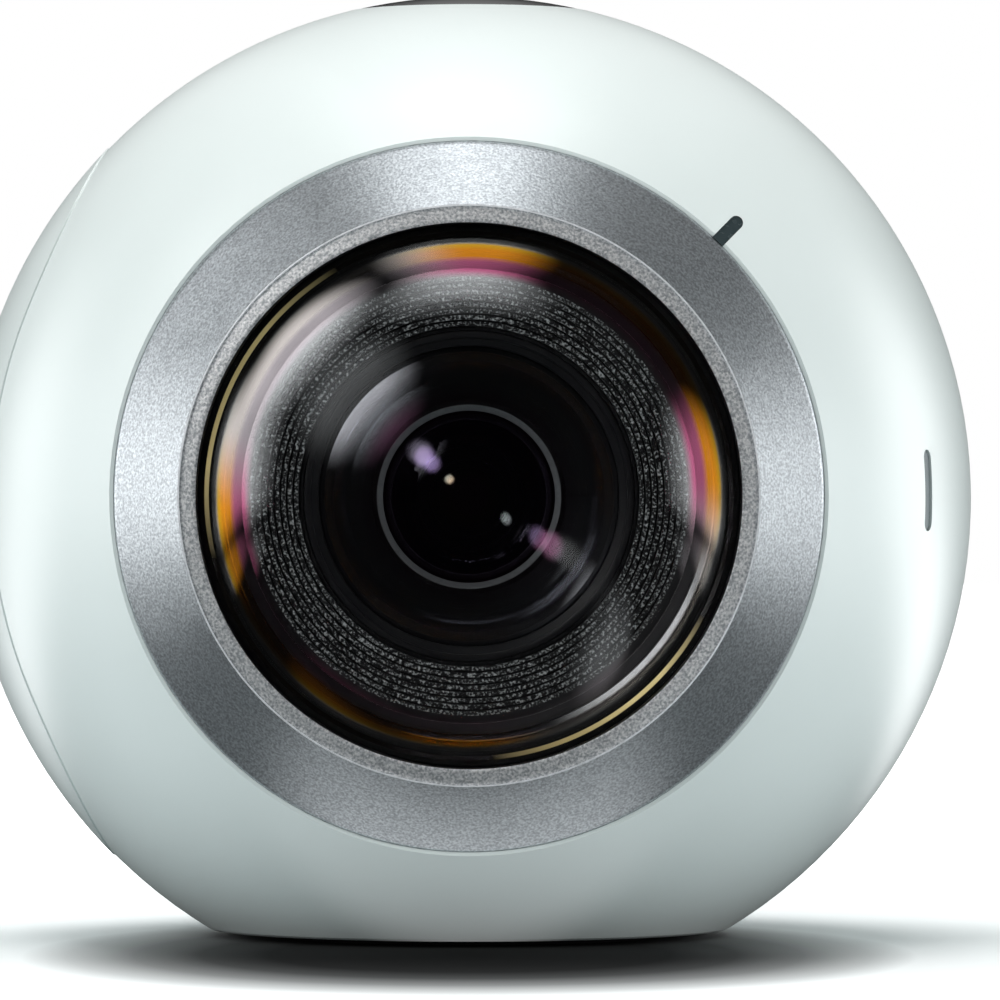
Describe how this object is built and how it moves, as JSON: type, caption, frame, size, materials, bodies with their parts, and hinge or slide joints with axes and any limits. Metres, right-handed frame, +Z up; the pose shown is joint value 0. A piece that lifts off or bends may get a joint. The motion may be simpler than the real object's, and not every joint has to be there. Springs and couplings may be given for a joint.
{
  "type": "360 degree camera",
  "caption": "Ball-shaped 360 degree camera with a domed fisheye lens on front and back, gloss top panel with a button, slim side keys and a pull-out side cover.",
  "frame": {"origin": "centre of the flat base, on the surface that the camera stands on", "axes": "-Y is the way the front lens looks and +Y the back one, +X is the side with the keys, -X the side with the cover, +Z is up"},
  "size_m": [0.0601, 0.0668, 0.0562],
  "materials": {
    "shell_white": "satin",
    "trim_metal": "bead blasted",
    "rim_metal": "coarse bead blasted",
    "dome_glass": "coated, polished",
    "lens_glass": "coated, polished",
    "lens_black": "black matt",
    "housing_plastic": "black moulded",
    "sensor_dark": "dark glossy",
    "circuit_board": "solder mask",
    "window_smoke": "smoked",
    "seal_rubber": "matt",
    "screw_steel": "plain",
    "key_grey": "satin",
    "frame_plastic": "moulded",
    "port_steel": "drawn",
    "card_plastic": "matt",
    "latch_orange": "moulded",
    "battery_dark": "sleeved",
    "contact_brass": "plated",
    "panel_black": "high gloss",
    "button_black": "gloss",
    "switch_plastic": "moulded",
    "foot_rubber": "matt",
    "insert_brass": "turned"
  },
  "bodies": {
    "camera_body": {"back_baffle": "lens_black", "back_dome_glass": "dome_glass", "back_lens_barrel": "lens_black", "back_lens_housing": "housing_plastic", "back_lens_rim": "rim_metal", "back_rear_element": "lens_glass", "back_retaining_ring": "lens_black", "back_second_element": "lens_glass", "back_sensor": "sensor_dark", "back_sensor_board": "circuit_board", "back_shell": "shell_white", "back_status_window": "window_smoke", "back_third_element": "lens_glass", "back_trim_ring": "trim_metal", "base_plate": "shell_white", "base_screws": "screw_steel", "battery": "battery_dark", "battery_contacts": "contact_brass", "card_slot": "port_steel", "core_frame": "frame_plastic", "display_module": "switch_plastic", "dome_seals": "seal_rubber", "foot_ring": "foot_rubber", "front_baffle": "lens_black", "front_dome_glass": "dome_glass", "front_lens_barrel": "lens_black", "front_lens_housing": "housing_plastic", "front_lens_rim": "rim_metal", "front_rear_element": "lens_glass", "front_retaining_ring": "lens_black", "front_second_element": "lens_glass", "front_sensor": "sensor_dark", "front_sensor_board": "circuit_board", "front_shell": "shell_white", "front_status_window": "window_smoke", "front_third_element": "lens_glass", "front_trim_ring": "trim_metal", "iris_plates": "lens_black", "key_switches": "circuit_board", "lens_screws": "screw_steel", "main_board": "circuit_board", "microphones": "switch_plastic", "ok_switch": "switch_plastic", "shield_can": "port_steel", "side_frame": "frame_plastic", "speaker": "switch_plastic", "top_board": "circuit_board", "top_panel": "panel_black", "tripod_insert": "insert_brass", "usb_port": "port_steel"},
    "ok_button": {"ok_button": "button_black"},
    "menu_key": {"menu_key": "key_grey"},
    "power_key": {"power_key": "key_grey"},
    "battery_latch": {"battery_latch": "latch_orange"},
    "memory_card": {"memory_card": "card_plastic"},
    "cover_arm": {"cover_arm": "screw_steel", "cover_pin": "screw_steel"},
    "side_cover": {"side_cover": "shell_white", "cover_seal": "seal_rubber"}
  },
  "joints": [
    {"name": "ok_press", "type": "slide", "parent": "camera_body", "child": "ok_button", "axis": [0, 0, -1], "range_m": [0, 0.0004], "stiffness_N_per_m": 400, "springref_m": -0.001},
    {"name": "menu_press", "type": "slide", "parent": "camera_body", "child": "menu_key", "axis": [-0.891, 0.454, 0], "range_m": [0, 0.0003], "stiffness_N_per_m": 400, "springref_m": -0.001},
    {"name": "power_press", "type": "slide", "parent": "camera_body", "child": "power_key", "axis": [-0.891, -0.454, 0], "range_m": [0, 0.0003], "stiffness_N_per_m": 400, "springref_m": -0.001},
    {"name": "latch_slide", "type": "slide", "parent": "camera_body", "child": "battery_latch", "axis": [0, 1, 0], "range_m": [0, 0.0016], "stiffness_N_per_m": 150, "springref_m": -0.002},
    {"name": "card_push", "type": "slide", "parent": "camera_body", "child": "memory_card", "axis": [1, 0, 0], "range_m": [0, 0.0008], "stiffness_N_per_m": 150, "springref_m": -0.002},
    {"name": "cover_pull", "type": "slide", "parent": "camera_body", "child": "cover_arm", "axis": [-1, 0, 0], "range_m": [0, 0.014]},
    {"name": "cover_swing", "type": "hinge", "parent": "cover_arm", "child": "side_cover", "pos_m": [-0.0267, 0.0056, 0.02615], "axis": [0, 0, -1], "range_deg": [0, 70]}
  ],
  "couplings": [
    {"joint": "cover_swing", "follows": "cover_pull", "rad_per_m": 87.26}
  ]
}
